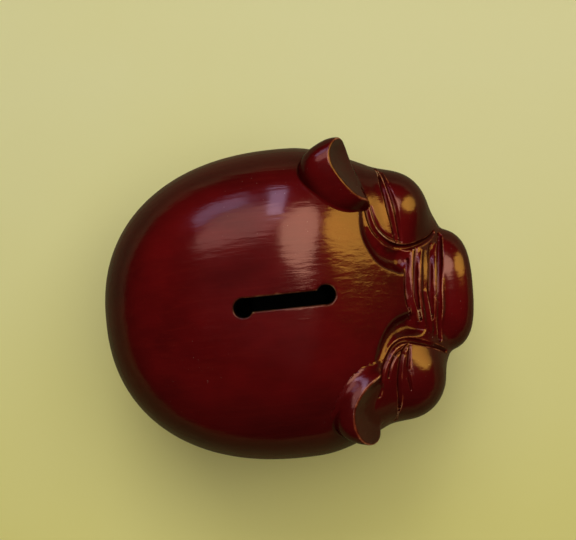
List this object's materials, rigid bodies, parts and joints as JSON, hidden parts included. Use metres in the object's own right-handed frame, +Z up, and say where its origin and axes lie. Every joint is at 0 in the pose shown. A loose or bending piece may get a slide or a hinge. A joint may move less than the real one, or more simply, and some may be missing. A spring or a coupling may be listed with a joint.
{
  "type": "piggy bank",
  "caption": "Lacquered carved wooden pig money bank with a coin slot in its back, a hollow body, a rubber belly stopper and feet on felt pads.",
  "frame": {"origin": "middle of the bounding box on the surface that the felt pads stand on", "axes": "+Z up, the pig faces -Y, +X towards the pig's left side"},
  "size_m": [0.1024, 0.1203, 0.09],
  "materials": {
    "lacquer": "gloss",
    "bare_wood": "matte",
    "rubber": "matte",
    "felt": "matte"
  },
  "bodies": {
    "bank": {"upper_shell": "lacquer", "lower_shell": "lacquer", "ear_left": "lacquer", "ear_right": "lacquer", "tail": "lacquer", "foot_front_left": "lacquer", "foot_front_right": "lacquer", "foot_rear_left": "lacquer", "foot_rear_right": "lacquer", "felt_pad_front_left": "felt", "felt_pad_front_right": "felt", "felt_pad_rear_left": "felt", "felt_pad_rear_right": "felt", "dowel_left": "bare_wood", "dowel_right": "bare_wood", "dowel_front": "bare_wood", "dowel_rear": "bare_wood"},
    "stopper": {"stopper": "rubber"}
  },
  "joints": [
    {"name": "stopper_pull", "type": "slide", "parent": "bank", "child": "stopper", "axis": [0, 0, -1], "range_m": [0, 0.05]}
  ]
}
